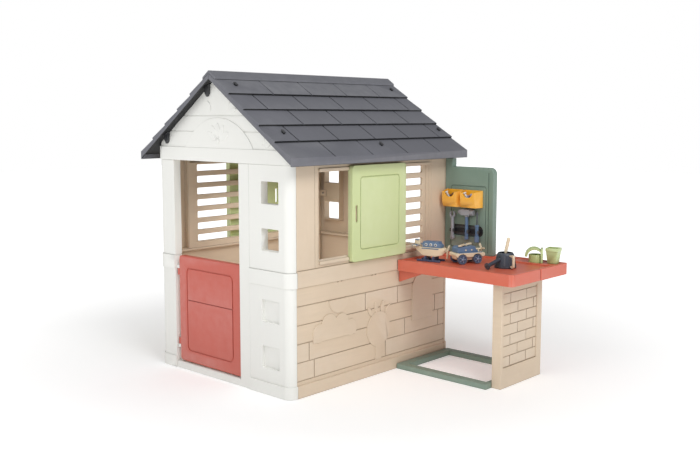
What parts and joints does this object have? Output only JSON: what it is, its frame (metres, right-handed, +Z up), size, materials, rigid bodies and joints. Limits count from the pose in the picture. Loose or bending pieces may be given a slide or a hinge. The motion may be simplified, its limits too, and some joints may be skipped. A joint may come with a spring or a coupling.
{
  "type": "children's playhouse",
  "caption": "Moulded plastic garden playhouse with a half door, sliding shutters, a shingled roof and a side workbench with a tool board, bins and toys.",
  "frame": {"origin": "centre of the whole set's footprint, on the floor: halfway between the left eaves and the bench's far end, and halfway between the roof's front and back verges", "axes": "+X runs along the front wall towards the workbench, +Y from the front wall to the back wall, +Z up"},
  "size_m": [1.464, 1.106, 1.2705],
  "materials": {
    "white_wall": "moulded, fine satin texture",
    "beige_wall": "moulded, wood-grain texture",
    "slate_roof": "moulded, matt",
    "red_door": "moulded, satin",
    "red_bench": "moulded, satin",
    "green_shutter": "moulded, fine texture",
    "sage_panel": "moulded, fine texture",
    "yellow_bin": "moulded, glossy",
    "blue_toy": "moulded, satin",
    "cream_toy": "wood-fibre plastic, matt",
    "slate_toy": "moulded, satin",
    "grey_toy": "moulded, satin",
    "green_toy": "moulded, satin",
    "white_hinge": "moulded, satin",
    "screw_steel": "zinc plated",
    "dark_clip": "moulded, matt"
  },
  "bodies": {
    "house": {"front_gable": "white_wall", "front_upper_panel": "white_wall", "front_lower_panel": "white_wall", "front_door_frame": "white_wall", "front_post_upper": "white_wall", "front_post_lower": "white_wall", "back_gable": "beige_wall", "back_upper_panel": "beige_wall", "back_lower_panel": "beige_wall", "back_opening_frame": "beige_wall", "back_post_upper": "beige_wall", "back_post_lower": "beige_wall", "back_infill_panel": "beige_wall", "right_lower_wall": "beige_wall", "right_post_front": "beige_wall", "right_post_back": "beige_wall", "right_window_frame": "beige_wall", "left_lower_wall": "beige_wall", "left_post_front": "beige_wall", "left_post_back": "beige_wall", "left_window_frame": "beige_wall", "roof_right": "slate_roof", "roof_left": "slate_roof", "ridge_cap": "slate_roof", "roof_clips": "dark_clip", "door_hinges": "white_hinge", "corner_ties": "beige_wall", "panel_screws": "screw_steel", "bench_top": "red_bench", "bench_bracket": "red_bench", "bench_leg": "beige_wall", "bench_base_frame": "sage_panel", "tool_board": "sage_panel", "tool_rail": "dark_clip"},
    "door": {"door_leaf": "red_door"},
    "right_shutter": {"right_shutter": "green_shutter"},
    "left_shutter": {"left_shutter": "green_shutter"},
    "bin_left": {"bin_left": "yellow_bin", "bin_left_fasteners": "grey_toy"},
    "bin_right": {"bin_right": "yellow_bin", "bin_right_fasteners": "grey_toy"},
    "hammer": {"hammer_head": "grey_toy", "hammer_handle": "blue_toy"},
    "spanner": {"spanner": "grey_toy"},
    "screwdriver": {"screwdriver_handle": "blue_toy", "screwdriver_shaft": "slate_toy"},
    "buggy": {"buggy_body": "cream_toy", "buggy_hood": "blue_toy"},
    "buggy_front_axle": {"buggy_front_wheels": "blue_toy"},
    "buggy_rear_axle": {"buggy_rear_wheels": "blue_toy"},
    "buggy_rotor": {"buggy_rotor": "cream_toy"},
    "plane": {"plane_hull": "cream_toy", "plane_cabin": "blue_toy", "plane_skids": "slate_toy"},
    "plane_propeller": {"plane_propeller": "cream_toy"},
    "watering_can": {"watering_can": "slate_toy", "can_handle": "cream_toy"},
    "trowel": {"trowel": "cream_toy"},
    "rake_cup": {"rake_cup": "green_toy"},
    "square_pot": {"square_pot": "green_toy"}
  },
  "joints": [
    {"name": "door_hinge", "type": "hinge", "parent": "house", "child": "door", "pos_m": [-0.553, -0.492, 0.24], "axis": [0, 0, -1], "range_deg": [0, 95]},
    {"name": "right_shutter_slide", "type": "slide", "parent": "house", "child": "right_shutter", "axis": [0, 1, 0], "range_m": [-0.168, 0.19]},
    {"name": "left_shutter_slide", "type": "slide", "parent": "house", "child": "left_shutter", "axis": [0, 1, 0], "range_m": [-0.243, 0.115]},
    {"name": "bin_left_pull", "type": "slide", "parent": "house", "child": "bin_left", "axis": [0, -1, 0], "range_m": [0, 0.07]},
    {"name": "bin_right_pull", "type": "slide", "parent": "house", "child": "bin_right", "axis": [0, -1, 0], "range_m": [0, 0.07]},
    {"name": "hammer_pull", "type": "slide", "parent": "house", "child": "hammer", "axis": [0, -1, 0], "range_m": [0, 0.06]},
    {"name": "spanner_pull", "type": "slide", "parent": "house", "child": "spanner", "axis": [0, -1, 0], "range_m": [0, 0.06]},
    {"name": "screwdriver_pull", "type": "slide", "parent": "house", "child": "screwdriver", "axis": [0, -1, 0], "range_m": [0, 0.06]},
    {"name": "buggy_lift", "type": "slide", "parent": "house", "child": "buggy", "axis": [0, 0, 1], "range_m": [0, 0.12]},
    {"name": "buggy_front_spin", "type": "hinge", "parent": "buggy", "child": "buggy_front_axle", "pos_m": [0.38622, 0.25164, 0.4923], "axis": [-0.8988, 0.4384, 0], "continuous": true},
    {"name": "buggy_rear_spin", "type": "hinge", "parent": "buggy", "child": "buggy_rear_axle", "pos_m": [0.41778, 0.31636, 0.4923], "axis": [-0.8988, 0.4384, 0], "continuous": true},
    {"name": "buggy_rotor_spin", "type": "hinge", "parent": "buggy", "child": "buggy_rotor", "pos_m": [0.39937, 0.27861, 0.5503], "axis": [0, 0, 1], "continuous": true},
    {"name": "plane_lift", "type": "slide", "parent": "house", "child": "plane", "axis": [0, 0, 1], "range_m": [0, 0.12]},
    {"name": "plane_propeller_spin", "type": "hinge", "parent": "plane", "child": "plane_propeller", "pos_m": [0.33068, 0.23945, 0.5183], "axis": [0.9781, 0.2079, 0], "continuous": true},
    {"name": "can_lift", "type": "slide", "parent": "house", "child": "watering_can", "axis": [0, 0, 1], "range_m": [0, 0.12]},
    {"name": "trowel_lift", "type": "slide", "parent": "watering_can", "child": "trowel", "axis": [0.1521, 0.1418, 0.9781], "range_m": [0, 0.1]},
    {"name": "rake_cup_lift", "type": "slide", "parent": "house", "child": "rake_cup", "axis": [0, 0, 1], "range_m": [0, 0.12]},
    {"name": "square_pot_lift", "type": "slide", "parent": "house", "child": "square_pot", "axis": [0, 0, 1], "range_m": [0, 0.12]}
  ]
}
